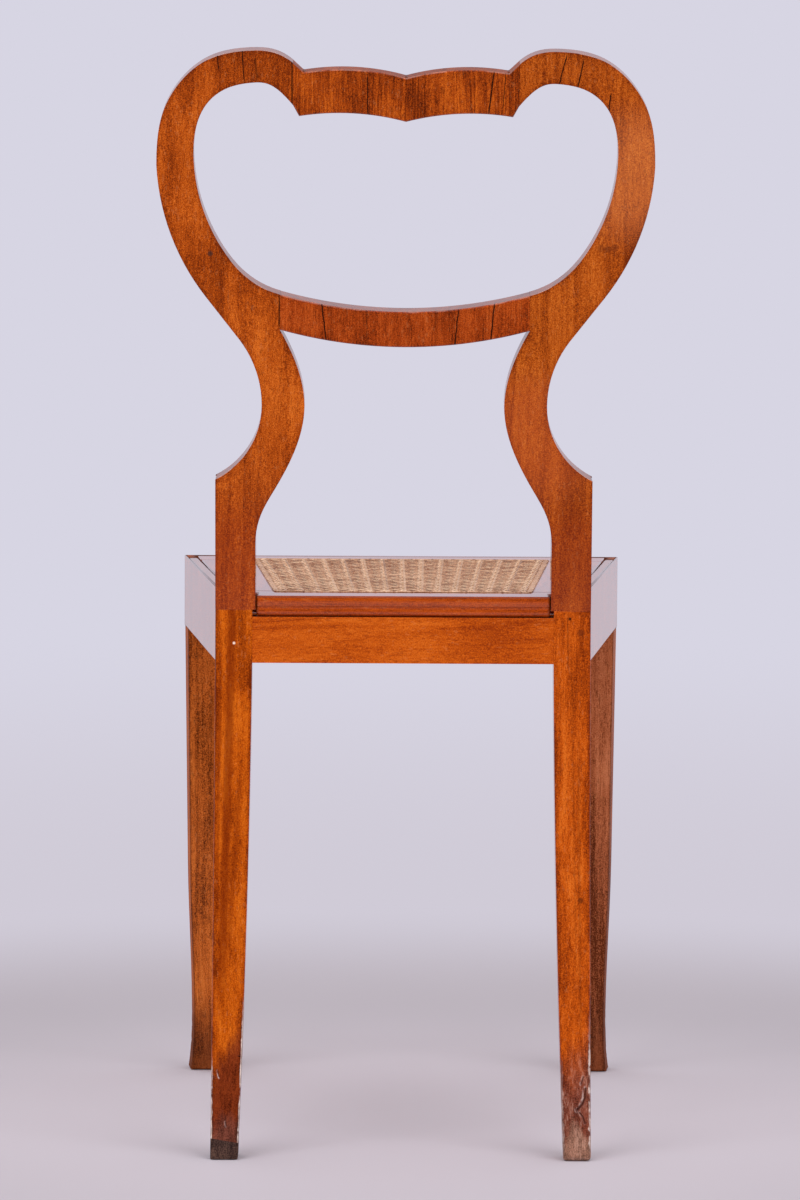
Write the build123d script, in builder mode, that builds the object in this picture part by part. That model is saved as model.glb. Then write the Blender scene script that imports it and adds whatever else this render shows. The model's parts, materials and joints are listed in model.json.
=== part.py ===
from build123d import *
import os
from math import cos, radians, sin

# A veneered side chair: an open curved back on sabre legs, with a loose caned seat that drops into the rails.
# Millimetres. +Z is up, the chair faces -Y, and the origin is on the floor under the middle of the chair.
# "Forward" is measured in plan from the rear face of the rear legs towards the front of the seat.
# "Up" is measured along the lean of the back from the top of the rear legs.
# Left and right are the sitter's, so left is +X.

# Driving dimensions: seat box
seat_depth = 420.0              # rear face of the legs to the front face of the front rail
seat_front_width = 382.0
seat_rear_width = 292.0         # where the rails' outer faces would cross the rear face of the legs
seat_height = 455.5             # top of the rails and of the loose seat
side_rail_height = 61.7
rail_thickness = 24.0           # with its veneer
rail_lip = 9.0                  # upright edge left outside the rebate that the seat drops into
veneer = 1.2
rear_rail_height = 37.8
rear_rail_thickness = 22.0

# Driving dimensions: rear legs
rear_half_width = 153.5         # outer faces of the rear legs from the middle
rear_leg_width = 30.3           # at the top
rear_shin_width = 27.0          # half way down
rear_foot_width = 22.5
rear_foot_splay = 1.5           # how far the foot stands out past the top
rear_leg_depth = 30.0           # at the top
rear_foot_depth = 26.0
rear_sweep = 60.0               # how far the foot kicks back
back_joint_drop = 11.5          # the back stands on the legs this far below the top of the seat
foot_tip_height = 14.0          # spliced new end on one foot
foot_tip_slant = 9.0            # degrees

# Driving dimensions: front legs
front_leg_width = 34.0          # at the rail
front_shin_height = 186.0       # straight above this height
front_shin_draw = 2.4           # how far the outer face has drawn in there
front_ankle_height = 62.0
front_ankle_draw = 6.4          # how far the outer face has drawn in there
front_ankle_width = 26.0
front_foot_width = 26.5
front_foot_flare = 2.2          # sideways kick of the foot
front_foot_kick = 5.0           # forward reach of the toe past the rail
front_foot_turn = 7.0           # degrees that the foot's sides lean out at the floor
front_toe_turn = 15.6           # degrees that its toe and heel lean forward there

# Driving dimensions: outline of the back
rake = 7.5                      # backward lean, degrees
back_thickness = 21.0           # with a veneer on both faces
stile_foot_width = 32.8
foot_block_up = 55.0            # square part of the stile above the leg
shoulder_up = 108.3
hip_drop = 7.9                  # inner curve under the shoulder
hip_set = 15.7
waist_up = 170.0
waist_half_width = 115.8
waist_width = 34.8
throat_rise = 54.0              # the waist's curve straightens here
throat_set = 18.3
bulge_up = 366.0                # widest part
back_half_width = 200.8
ring_width = 30.4
swell_drop = 107.4              # start of the bulge's curve
swell_set = 39.8
ear_up = 459.1                  # top of the rounded ears
ear_reach = 124.0
ear_width = 26.1
ear_side_drop = 33.1            # outer haunch of the ear
ear_side_set = 13.8
ear_brow_drop = 7.6             # outer edge between haunch and top
ear_brow_set = 41.5
ear_end_slope = 40.0            # slope of the outer edge where it meets the crest, degrees
ear_inner_drop = 14.9           # inner haunch of the ear
ear_inner_set = 12.2
ear_inner_brow_drop = 3.8       # inner edge between haunch and top
ear_inner_brow_set = 28.4
opening_corner_rise = 37.1      # lower corner of the opening above the rail joint's top
opening_corner_set = 22.7
crest_joint = 91.0              # crest meets the stile, from the middle
crest_joint_drop = 9.8          # below the top of the ears
crest_joint_height = 34.1
notch_reach = 82.5              # inward corner between ear and crest
notch_drop = 17.7
crest_height = 35.3             # at the middle
crest_bow = 2.6                 # the crest's edges bow up between notch and middle
crest_bow_reach = 47.0
crest_dip = 4.2                 # pointed dip at the middle
crest_tip_reach = 86.0          # lower corner under the notch
lower_rail_joint = 101.0        # lower rail meets the stile, from the middle
lower_rail_up = 260.9           # top of that joint
lower_rail_height = 29.0        # at that joint
lower_rail_sag = 13.8
waist_end_slope = 60.0          # slope of the stile's inner edge where it meets the lower rail, degrees
opening_low_slope = 15.7        # slope of the opening where it leaves the lower rail
opening_high_slope = 50.0       # slope of the opening where it meets the crest

# Driving dimensions: loose seat and cane
seat_thickness = 17.0
seat_clearance = 0.6            # all round the loose seat
seat_rest = 0.3                 # under it
seat_border_front = 50.5        # wood in front of the cane
seat_border_rear = 47.5         # wood behind the cane
seat_rear_chamfer = 8.5         # lower half of the rear edge slopes in
seat_rear_chamfer_set = 3.0
cane_front_width = 241.0
cane_rear_width = 197.0
cane_thickness = 1.4
cane_lap = 12.0                 # cane lying on the frame outside the opening
cane_columns = 16
cane_rows = 16
cane_strand = 5.6               # solid width between two gaps
gap_corner_share = 0.33         # part of a gap's narrower side that each cut corner takes
binding_width = 5.0
binding_thickness = 1.2
binding_set = 3.5               # from the edge of the cane opening

# Driving dimensions: joinery
tenon_length = 12.0
tenon_thickness = 8.0
rail_tenon_height = 24.0
rail_tenon_rise = 8.0           # shoulder under the tenon
back_tenon_height = 13.0
seat_tenon_length = 7.0
seat_tenon_width = 20.0
seat_tenon_thickness = 6.0
spigot_size = 14.0              # square peg on top of the rear leg
spigot_height = 24.0
joint_clearance = 0.15

# Places worked out from them
lean_sin = sin(radians(rake))
lean_cos = cos(radians(rake))
back_reach = max(rear_sweep, ear_up * lean_sin)
rear_y = (seat_depth + front_foot_kick - back_reach) / 2
splay = (seat_front_width - seat_rear_width) / 2 / seat_depth
rear_leg_height = seat_height - back_joint_drop
rail_bottom = seat_height - side_rail_height
seat_bottom = seat_height - seat_thickness
ledge_height = seat_bottom - seat_rest
rear_rail_bottom = ledge_height - rear_rail_height
leg_inner = rear_half_width - rear_leg_width
stile_inner = rear_half_width - stile_foot_width
leg_middle = rear_half_width - rear_leg_width / 2
post_forward = seat_depth - front_leg_width
cane_front = seat_depth - seat_border_front
cane_depth = cane_front - seat_border_rear
cane_top = seat_height + cane_thickness
back_tenon_inset = (back_thickness - tenon_thickness) / 2
crest_joint_top = ear_up - crest_joint_drop
crest_joint_low = crest_joint_top - crest_joint_height
lower_rail_low = lower_rail_up - lower_rail_height
back_plane = Plane(origin=(0, rear_y, rear_leg_height), x_dir=(1, 0, 0), z_dir=(0, -lean_cos, lean_sin))
past = 2 * rear_half_width      # longer than any cut has to be

os.makedirs("parts", exist_ok=True)


# Half width of the seat box, and of the cane opening, at a distance forward
def outer_half(forward):
    return seat_front_width / 2 - splay * (seat_depth - forward)


def cane_half(forward):
    grow = (cane_front_width - cane_rear_width) / 2 / cane_depth
    return cane_rear_width / 2 + grow * (forward - seat_border_rear)


# Points in plan, from the side, and on the leaning back seen from the side
def plan(across, forward):
    return (across, rear_y - forward)


def side_view(forward, height):
    return (rear_y - forward, height)


def lean_view(up, inward):
    along = rear_y + up * lean_sin - inward * lean_cos
    return (along, rear_leg_height + up * lean_cos + inward * lean_sin)


# A strip of the seat box in plan, across the middle or on the left side only
def draw_across(rear, front, half_width):
    with BuildLine() as outline:
        Polyline(
            plan(half_width(rear), rear),
            plan(half_width(front), front),
            plan(-half_width(front), front),
            plan(-half_width(rear), rear),
            close=True,
        )
    make_face(outline.edges())


def draw_side(rear, front, inner_half, outer):
    with BuildLine() as outline:
        Polyline(
            plan(inner_half(rear), rear),
            plan(outer(rear), rear),
            plan(outer(front), front),
            plan(inner_half(front), front),
            close=True,
        )
    make_face(outline.edges())


def heading(degrees):
    return (cos(radians(degrees)), sin(radians(degrees)))


def finish(piece, name):
    piece.part.label = name
    export_step(piece.part, f"parts/{name}.step")


def finish_pair(piece, name):
    with BuildPart() as other:
        mirror(piece.part, about=Plane.YZ)
    finish(piece, name + "_left")
    finish(other, name + "_right")


# The rebate that the loose seat drops into, taken out of every piece round it
def cut_seat_well():
    with BuildSketch(Plane.XY.offset(ledge_height)) as well:
        draw_across(-rail_lip, seat_depth - rail_lip, lambda forward: outer_half(forward) - rail_lip)
    extrude(well.sketch, amount=seat_thickness * 2, mode=Mode.SUBTRACT)


# Tenons, and the mortises that take them with a little clearance
def block(centre, size, mode=Mode.ADD):
    with Locations(centre):
        Box(*size, mode=mode)


def loosened(size):
    return tuple(side + 2 * joint_clearance for side in size)


rear_rail_tenon = (2 * (leg_inner + tenon_length), tenon_thickness, rail_tenon_height)
rear_rail_tenon_at = (0, rear_y - rear_rail_thickness / 2, rear_rail_bottom + rear_rail_height / 2)
side_tenon = (tenon_thickness, 2 * tenon_length, rail_tenon_height)
side_tenon_up = rail_bottom + rail_tenon_rise + rail_tenon_height / 2
rear_side_tenon_at = (outer_half(rear_leg_depth) - rail_thickness / 2, rear_y - rear_leg_depth, side_tenon_up)
front_side_tenon_at = (outer_half(post_forward) - rail_thickness / 2, rear_y - post_forward, side_tenon_up)
front_rail_middle = seat_depth - rail_thickness / 2
post_inner = outer_half(front_rail_middle) - front_leg_width
front_rail_tenon = (2 * (post_inner + tenon_length), tenon_thickness, rail_tenon_height)
front_rail_tenon_at = (0, rear_y - front_rail_middle, side_tenon_up)
spigot = (spigot_size, spigot_size, 2 * spigot_height)
spigot_at = (leg_middle, rear_y - rear_leg_depth / 2, rear_leg_height)


# Rear leg: a sabre curve from the side, tapering inwards from behind
with BuildPart() as rear_leg:
    with BuildSketch(Plane.YZ):
        with BuildLine():
            heel = TangentArc(
                side_view(0, rear_leg_height), side_view(-rear_sweep, 0), tangent=(0, -1)
            )
            sole = Line(heel @ 1, side_view(rear_foot_depth - rear_sweep, 0))
            shin = TangentArc(side_view(rear_leg_depth, rear_leg_height), sole @ 1, tangent=(0, -1))
            Line(shin @ 0, heel @ 0)
        make_face()
    extrude(amount=past)
    with BuildSketch(Plane.XZ):
        with BuildLine():
            outer_foot = (rear_half_width + rear_foot_splay, 0)
            inner_foot = (outer_foot[0] - rear_foot_width, 0)
            inner_shin = (rear_half_width - rear_shin_width, rear_rail_bottom / 2)
            inner_knee = (leg_inner, rear_rail_bottom)
            ThreePointArc(inner_foot, inner_shin, inner_knee)
            Polyline(
                inner_knee,
                (leg_inner, rear_leg_height),
                (rear_half_width, rear_leg_height),
                (rear_half_width, rear_rail_bottom),
                outer_foot,
                inner_foot,
            )
        make_face()
    extrude(amount=past, both=True, mode=Mode.INTERSECT)
    block(spigot_at, spigot)
    block(rear_rail_tenon_at, loosened(rear_rail_tenon), Mode.SUBTRACT)
    block(rear_side_tenon_at, loosened(side_tenon), Mode.SUBTRACT)

tip_cut = Plane(
    origin=(leg_middle, rear_y + rear_sweep, foot_tip_height),
    x_dir=(cos(radians(foot_tip_slant)), 0, sin(radians(foot_tip_slant))),
    z_dir=(-sin(radians(foot_tip_slant)), 0, cos(radians(foot_tip_slant))),
)

with BuildPart() as rear_leg_left:
    add(rear_leg.part)
    split(bisect_by=tip_cut, keep=Keep.TOP)

with BuildPart() as rear_foot_tip_left:
    add(rear_leg.part)
    split(bisect_by=tip_cut, keep=Keep.BOTTOM)

with BuildPart() as rear_leg_right:
    mirror(rear_leg.part, about=Plane.YZ)

finish(rear_leg_left, "rear_leg_left")
finish(rear_foot_tip_left, "rear_foot_tip_left")
finish(rear_leg_right, "rear_leg_right")


# Front leg: post between the rails, straight shin, drawn-in ankle and a kicked-out foot
with BuildPart() as front_leg:
    leg_outer = outer_half(seat_depth)
    with BuildSketch(Plane.XZ.offset(seat_depth + front_foot_kick - rear_y)):
        with BuildLine():
            outer_top = (leg_outer, rail_bottom)
            outer_shin = (leg_outer - front_shin_draw, front_shin_height)
            outer_ankle = (leg_outer - front_ankle_draw, front_ankle_height)
            outer_foot = (outer_ankle[0] + front_foot_flare, 0)
            inner_foot = (outer_foot[0] - front_foot_width, 0)
            inner_ankle = (outer_ankle[0] - front_ankle_width, front_ankle_height)
            inner_top = (leg_outer - front_leg_width, rail_bottom)
            shin_line = Line(outer_top, outer_shin)
            foot_out = heading(front_foot_turn - 90)
            Spline(outer_shin, outer_ankle, outer_foot, tangents=(shin_line % 1, foot_out))
            Line(outer_foot, inner_foot)
            Spline(inner_foot, inner_ankle, inner_top, tangents=(heading(front_foot_turn + 90), (0, 1)))
            Line(inner_top, outer_top)
        make_face()
    extrude(amount=front_leg_width + front_foot_kick + rail_thickness, dir=(-splay, 1, 0))
    with BuildSketch(Plane.YZ):
        with BuildLine():
            toe_ankle = side_view(seat_depth - front_shin_draw, front_ankle_height)
            toe = side_view(seat_depth + front_foot_kick, 0)
            heel_foot = side_view(seat_depth + front_foot_kick - front_foot_width, 0)
            heel_ankle = side_view(seat_depth - front_shin_draw - front_ankle_width, front_ankle_height)
            face_top = side_view(seat_depth, rail_bottom)
            rear_top = side_view(post_forward, rail_bottom)
            Spline(face_top, toe_ankle, toe, tangents=((0, -1), heading(-90 - front_toe_turn)))
            Line(toe, heel_foot)
            Spline(heel_foot, heel_ankle, rear_top, tangents=(heading(90 - front_toe_turn), (0, 1)))
            Line(rear_top, face_top)
        make_face()
    extrude(amount=past, mode=Mode.INTERSECT)
    with BuildSketch(Plane.XY.offset(rail_bottom)):
        draw_side(
            post_forward,
            seat_depth - veneer,
            lambda forward: outer_half(forward) - front_leg_width,
            lambda forward: outer_half(forward) - veneer,
        )
    extrude(amount=side_rail_height)
    cut_seat_well()
    block(front_side_tenon_at, loosened(side_tenon), Mode.SUBTRACT)
    block(front_rail_tenon_at, loosened(front_rail_tenon), Mode.SUBTRACT)

finish_pair(front_leg, "front_leg")


# Seat rails
with BuildPart() as rear_seat_rail:
    with BuildSketch(Plane.XY.offset(rear_rail_bottom)):
        draw_across(0, rear_rail_thickness, lambda forward: leg_inner)
    extrude(amount=rear_rail_height)
    block(rear_rail_tenon_at, rear_rail_tenon)

finish(rear_seat_rail, "rear_seat_rail")

with BuildPart() as side_seat_rail:
    with BuildSketch(Plane.XY.offset(rail_bottom)):
        draw_side(
            rear_leg_depth,
            post_forward,
            lambda forward: outer_half(forward) - rail_thickness,
            lambda forward: outer_half(forward) - veneer,
        )
    extrude(amount=side_rail_height)
    cut_seat_well()
    block(rear_side_tenon_at, side_tenon)
    block(front_side_tenon_at, side_tenon)

finish_pair(side_seat_rail, "side_seat_rail")

with BuildPart() as front_seat_rail:
    with BuildSketch(Plane.XY.offset(rail_bottom)):
        draw_across(
            seat_depth - rail_thickness,
            seat_depth - veneer,
            lambda forward: outer_half(forward) - front_leg_width,
        )
    extrude(amount=side_rail_height)
    cut_seat_well()
    block(front_rail_tenon_at, front_rail_tenon)

finish(front_seat_rail, "front_seat_rail")

with BuildPart() as side_rail_veneer:
    with BuildSketch(Plane.XY.offset(rail_bottom)):
        draw_side(
            rear_leg_depth,
            seat_depth - veneer,
            lambda forward: outer_half(forward) - veneer,
            outer_half,
        )
    extrude(amount=side_rail_height)

finish_pair(side_rail_veneer, "side_rail_veneer")

with BuildPart() as front_rail_veneer:
    with BuildSketch(Plane.XY.offset(rail_bottom)):
        draw_across(seat_depth - veneer, seat_depth, outer_half)
    extrude(amount=side_rail_height)

finish(front_rail_veneer, "front_rail_veneer")


# Outline of one stile with its ear, in the plane of the back
def draw_stile():
    below = -rear_leg_depth
    waist = (waist_half_width, waist_up)
    throat = (waist_half_width + throat_set, waist_up + throat_rise)
    swell = (back_half_width - swell_set, bulge_up - swell_drop)
    inner_bulge = back_half_width - ring_width
    inner_ear_up = ear_up - ear_width
    with BuildLine() as outline:
        TangentArc(waist, (rear_half_width, shoulder_up), tangent=(0, -1))
        waist_curve = TangentArc(waist, throat, tangent=(0, 1))
        slope = Line(waist_curve @ 1, swell)
        bulge = TangentArc(slope @ 1, (back_half_width, bulge_up), tangent=slope % 1)
        Spline(
            bulge @ 1,
            (back_half_width - ear_side_set, ear_up - ear_side_drop),
            (back_half_width - ear_brow_set, ear_up - ear_brow_drop),
            (ear_reach, ear_up),
            (crest_joint, crest_joint_top),
            tangents=((0, 1), heading(180 + ear_end_slope)),
        )
        Polyline(
            (rear_half_width, shoulder_up),
            (rear_half_width, below),
            (stile_inner, below),
            (stile_inner, foot_block_up),
        )
        Spline(
            (stile_inner, foot_block_up),
            (stile_inner - hip_set, shoulder_up - hip_drop),
            (waist_half_width - waist_width, waist_up),
            (lower_rail_joint, lower_rail_low),
            tangents=((0, 1), heading(waist_end_slope)),
        )
        Line((lower_rail_joint, lower_rail_low), (lower_rail_joint, lower_rail_up))
        Spline(
            (lower_rail_joint, lower_rail_up),
            (inner_bulge - opening_corner_set, lower_rail_up + opening_corner_rise),
            (inner_bulge, bulge_up),
            (inner_bulge - ear_inner_set, inner_ear_up - ear_inner_drop),
            (inner_bulge - ear_inner_brow_set, inner_ear_up - ear_inner_brow_drop),
            (ear_reach, inner_ear_up),
            (crest_joint, crest_joint_low),
            tangents=(heading(opening_low_slope), heading(180 + opening_high_slope)),
        )
        Line((crest_joint, crest_joint_low), (crest_joint, crest_joint_top))
    make_face(outline.edges())


# Outline of the crest rail: pointed dip at the middle, bowed either side, corners at the ears
def draw_crest():
    notch = (notch_reach, ear_up - notch_drop)
    dip = (0, ear_up - notch_drop - crest_dip)
    bow = (crest_bow_reach, ear_up - notch_drop + crest_bow)
    low_tip = (crest_tip_reach, notch[1] - crest_height)
    low_bow = (crest_bow_reach, bow[1] - crest_height)
    low_dip = (0, dip[1] - crest_height)
    with BuildLine() as outline:
        for side in (1, -1):
            Line((side * crest_joint, crest_joint_top), (side * notch[0], notch[1]))
            ThreePointArc((side * notch[0], notch[1]), (side * bow[0], bow[1]), dip)
            Line((side * crest_joint, crest_joint_low), (side * low_tip[0], low_tip[1]))
            ThreePointArc((side * low_tip[0], low_tip[1]), (side * low_bow[0], low_bow[1]), low_dip)
            Line((side * crest_joint, crest_joint_low), (side * crest_joint, crest_joint_top))
    make_face(outline.edges())


# Outline of the lower rail: both edges sag together
def draw_lower_rail():
    half = lower_rail_joint
    with BuildLine() as outline:
        for up in (lower_rail_up, lower_rail_low):
            ThreePointArc((-half, up), (0, up - lower_rail_sag), (half, up))
        for end in (half, -half):
            Line((end, lower_rail_up), (end, lower_rail_low))
    make_face(outline.edges())


# The back from the side: everything behind its front face and above the leg, less a skin's thickness
def draw_back_depth(skin):
    front_foot = side_view(rear_leg_depth - skin, rear_leg_height)
    shoulder = lean_view(shoulder_up, back_thickness - skin)
    head = lean_view(ear_up * 2, back_thickness - skin)
    behind = lean_view(ear_up * 2, -back_thickness)
    below = (rear_y + back_thickness, rear_leg_height)
    with BuildLine() as outline:
        Spline(front_foot, shoulder, tangents=((0, 1), (lean_sin, lean_cos)))
        Polyline(shoulder, head, behind, below, front_foot)
    make_face(outline.edges())


# Tenons of the crest and of the lower rail, and their mortises, at one end
def back_tenon(side, reach, up, slack, mode):
    length = tenon_length + slack
    with BuildSketch(back_plane.offset(back_tenon_inset - slack)) as end:
        with Locations((side * (reach + length / 2), up)):
            Rectangle(length, back_tenon_height + 2 * slack)
    extrude(end.sketch, amount=tenon_thickness + 2 * slack, mode=mode)


crest_tenon_up = crest_joint_top - ear_width / 2
lower_tenon_up = (lower_rail_up + lower_rail_low) / 2

with BuildPart() as back_stile:
    with BuildSketch(back_plane.offset(veneer)):
        draw_stile()
    extrude(amount=2 * rear_leg_depth)
    with BuildSketch(Plane.YZ):
        draw_back_depth(veneer)
    extrude(amount=past, mode=Mode.INTERSECT)
    back_tenon(1, crest_joint, crest_tenon_up, joint_clearance, Mode.SUBTRACT)
    back_tenon(1, lower_rail_joint, lower_tenon_up, joint_clearance, Mode.SUBTRACT)
    block(spigot_at, loosened(spigot), Mode.SUBTRACT)

finish_pair(back_stile, "back_stile")

with BuildPart() as crest_rail:
    with BuildSketch(back_plane.offset(veneer)):
        draw_crest()
    extrude(amount=back_thickness - 2 * veneer)
    for side in (1, -1):
        back_tenon(side, crest_joint, crest_tenon_up, 0, Mode.ADD)

finish(crest_rail, "crest_rail")

with BuildPart() as lower_back_rail:
    with BuildSketch(back_plane.offset(veneer)):
        draw_lower_rail()
    extrude(amount=back_thickness - 2 * veneer)
    for side in (1, -1):
        back_tenon(side, lower_rail_joint, lower_tenon_up, 0, Mode.ADD)

finish(lower_back_rail, "lower_back_rail")


# Veneer leaves on both faces of the back
with BuildPart() as rear_veneer_stile:
    with BuildSketch(back_plane):
        draw_stile()
    extrude(amount=veneer)
    with BuildSketch(Plane.YZ):
        draw_back_depth(veneer)
    extrude(amount=past, mode=Mode.INTERSECT)

finish_pair(rear_veneer_stile, "rear_veneer_stile")

with BuildPart() as front_veneer_stile:
    with BuildSketch(back_plane.offset(veneer)):
        draw_stile()
    extrude(amount=2 * rear_leg_depth)
    with BuildSketch(Plane.YZ):
        draw_back_depth(0)
    extrude(amount=past, mode=Mode.INTERSECT)
    with BuildSketch(Plane.YZ):
        draw_back_depth(veneer)
    extrude(amount=past, mode=Mode.SUBTRACT)

finish_pair(front_veneer_stile, "front_veneer_stile")

for name, draw in (("crest", draw_crest), ("lower_rail", draw_lower_rail)):
    for face, set_in in (("rear", 0), ("front", back_thickness - veneer)):
        with BuildPart() as leaf:
            with BuildSketch(back_plane.offset(set_in)):
                draw()
            extrude(amount=veneer)
        finish(leaf, f"{face}_veneer_{name}")


# Loose seat: four members, tenoned, notched round the stiles
def seat_half(forward):
    return outer_half(forward) - rail_lip - seat_clearance


seat_middle_height = seat_bottom + seat_thickness / 2
seat_tenon = (seat_tenon_width, 2 * seat_tenon_length, seat_tenon_thickness)
seat_tenons_at = [
    ((cane_half(forward) + seat_half(forward)) / 2, rear_y - forward, seat_middle_height)
    for forward in (seat_border_rear, cane_front)
]
seat_notch = rear_leg_depth + seat_clearance

with BuildPart() as seat_frame_side:
    with BuildSketch(Plane.XY.offset(seat_bottom)):
        draw_side(seat_border_rear, cane_front, cane_half, seat_half)
    extrude(amount=seat_thickness)
    for place in seat_tenons_at:
        block(place, seat_tenon)

finish_pair(seat_frame_side, "seat_frame")

with BuildPart() as seat_frame_rear:
    with BuildSketch(Plane.XY.offset(seat_bottom)):
        draw_across(seat_clearance, seat_border_rear, lambda forward: stile_inner - seat_clearance)
        draw_across(seat_notch, seat_border_rear, seat_half)
    extrude(amount=seat_thickness)
    with BuildSketch(Plane.YZ):
        with BuildLine():
            Polyline(
                side_view(seat_clearance, seat_bottom),
                side_view(seat_clearance + seat_rear_chamfer_set, seat_bottom),
                side_view(seat_clearance, seat_bottom + seat_rear_chamfer),
                close=True,
            )
        make_face()
    extrude(amount=past, both=True, mode=Mode.SUBTRACT)
    for side in (1, -1):
        across, along, height = seat_tenons_at[0]
        block((side * across, along, height), loosened(seat_tenon), Mode.SUBTRACT)

finish(seat_frame_rear, "seat_frame_rear")

with BuildPart() as seat_frame_front:
    with BuildSketch(Plane.XY.offset(seat_bottom)):
        draw_across(cane_front, seat_depth - rail_lip - seat_clearance, seat_half)
    extrude(amount=seat_thickness)
    for side in (1, -1):
        across, along, height = seat_tenons_at[1]
        block((side * across, along, height), loosened(seat_tenon), Mode.SUBTRACT)

finish(seat_frame_front, "seat_frame_front")


# Cane: a flat net of eight-sided gaps that fans out towards the front
def gap_outline(width, depth):
    corner = min(width, depth) * gap_corner_share
    across, along = width / 2, depth / 2
    return [
        (across, along - corner),
        (across - corner, along),
        (corner - across, along),
        (-across, along - corner),
        (-across, corner - along),
        (corner - across, -along),
        (across - corner, -along),
        (across, corner - along),
    ]


with BuildPart() as cane_panel:
    row_depth = cane_depth / cane_rows
    with BuildSketch(Plane.XY.offset(seat_height)):
        draw_across(
            seat_border_rear - cane_lap,
            cane_front + cane_lap,
            lambda forward: cane_half(forward) + cane_lap,
        )
        for row in range(cane_rows):
            forward = seat_border_rear + row_depth * (row + 0.5)
            column_width = 2 * cane_half(forward) / cane_columns
            places = [
                plan(column_width * (column + 0.5 - cane_columns / 2), forward)
                for column in range(cane_columns)
            ]
            with Locations(*places):
                gap = gap_outline(column_width - cane_strand, row_depth - cane_strand)
                Polygon(*gap, mode=Mode.SUBTRACT)
    extrude(amount=cane_thickness)

finish(cane_panel, "cane_panel")

with BuildPart() as cane_binding:
    with BuildSketch(Plane.XY.offset(cane_top)):
        for set_out, mode in ((binding_set + binding_width, Mode.ADD), (binding_set, Mode.SUBTRACT)):
            with BuildLine():
                rear = seat_border_rear - set_out
                front = cane_front + set_out
                Polyline(
                    plan(cane_half(rear) + set_out, rear),
                    plan(cane_half(front) + set_out, front),
                    plan(-cane_half(front) - set_out, front),
                    plan(-cane_half(rear) - set_out, rear),
                    close=True,
                )
            make_face(mode=mode)
    extrude(amount=binding_thickness)

finish(cane_binding, "cane_binding")
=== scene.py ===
import bmesh
import bpy
import functools
import json
import math
import numpy as np
from mathutils import Matrix, Vector, noise


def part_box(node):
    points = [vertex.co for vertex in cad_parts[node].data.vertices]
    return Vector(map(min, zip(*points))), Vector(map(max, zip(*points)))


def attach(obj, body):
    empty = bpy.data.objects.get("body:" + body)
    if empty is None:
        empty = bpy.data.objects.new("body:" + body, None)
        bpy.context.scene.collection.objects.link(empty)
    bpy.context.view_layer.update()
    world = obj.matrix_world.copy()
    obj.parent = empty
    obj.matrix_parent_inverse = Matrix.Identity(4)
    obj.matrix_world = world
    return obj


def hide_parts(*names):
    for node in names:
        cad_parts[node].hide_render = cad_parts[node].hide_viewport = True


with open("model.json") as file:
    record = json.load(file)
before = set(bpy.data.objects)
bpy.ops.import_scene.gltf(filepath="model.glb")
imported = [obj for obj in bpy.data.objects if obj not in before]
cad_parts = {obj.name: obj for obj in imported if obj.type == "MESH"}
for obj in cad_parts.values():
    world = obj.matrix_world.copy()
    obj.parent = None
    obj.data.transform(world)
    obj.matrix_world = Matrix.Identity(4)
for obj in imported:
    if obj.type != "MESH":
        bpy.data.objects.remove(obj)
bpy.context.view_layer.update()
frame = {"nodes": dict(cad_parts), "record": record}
cadNodes = frame["nodes"]
print("frame loaded with", len(cadNodes), "solids")


def addObject(name, data):
    made = bpy.data.objects.new(name, data)
    bpy.context.scene.collection.objects.link(made)
    return made


# Shader sheets: a wire is one node output, and sums on wires add Math nodes
class Wire:
    def __init__(self, sheet, socket):
        self.sheet = sheet
        self.socket = socket

    def maths(self, operation, other=None, swap=False):
        values = [other, self] if swap else [self, other]
        return self.sheet.node("Math", values, {"operation": operation})

    def __add__(self, other):
        return self.maths("ADD", other)

    def __sub__(self, other):
        return self.maths("SUBTRACT", other)

    def __rsub__(self, other):
        return self.maths("SUBTRACT", other, True)

    def __mul__(self, other):
        return self.maths("MULTIPLY", other)

    __radd__ = __add__
    __rmul__ = __mul__


class Sheet:
    def __init__(self, owner):
        owner.use_nodes = True
        self.tree = owner.node_tree
        self.tree.nodes.clear()

    # any node: its type, values or links of its sockets, settings, and the wanted output
    def node(self, kind, inputs=(), settings=None, output=0):
        made = self.tree.nodes.new("ShaderNode" + kind)
        for key, value in (settings or {}).items():
            if key == "stops":
                self.setStops(made.color_ramp, value)
            else:
                setattr(made, key, value)
        pairs = inputs.items() if isinstance(inputs, dict) else enumerate(inputs)
        for key, value in pairs:
            if isinstance(value, Wire):
                self.tree.links.new(value.socket, made.inputs[key])
            elif value is not None:
                made.inputs[key].default_value = value
        return Wire(self, made.outputs[output]) if len(made.outputs) else made

    def setStops(self, ramp, stops):
        while len(ramp.elements) < len(stops):
            ramp.elements.new(0.5)
        for element, (position, colour) in zip(ramp.elements, stops):
            element.position = position
            element.color = colour

    def vector(self, operation, first, second, output=0):
        return self.node("VectorMath", [first, second], {"operation": operation}, output)

    def blend(self, factor, first, second, mode="MIX"):
        settings = {"data_type": "RGBA", "blend_type": mode}
        return self.node("Mix", {0: factor, 6: first, 7: second}, settings, 2)

    def fade(self, value, low, high):
        settings = {"interpolation_type": "SMOOTHSTEP"}
        values = {"Value": value, "From Min": low, "From Max": high}
        return self.node("MapRange", values, settings)

    def ramp(self, factor, stops):
        return self.node("ValToRGB", [factor], {"stops": stops})

    def noise(self, point, across, along, detail=2.0, distortion=0.0):
        stretched = self.vector("MULTIPLY", point, (across, across, along))
        values = {"Vector": stretched, "Scale": 1.0, "Detail": detail, "Distortion": distortion}
        return self.node("TexNoise", values)

    def axis(self, point, name):
        return self.node("SeparateXYZ", [point], output=name)

    def attribute(self, name):
        return self.node("Attribute", (), {"attribute_name": name}, "Fac")


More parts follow.
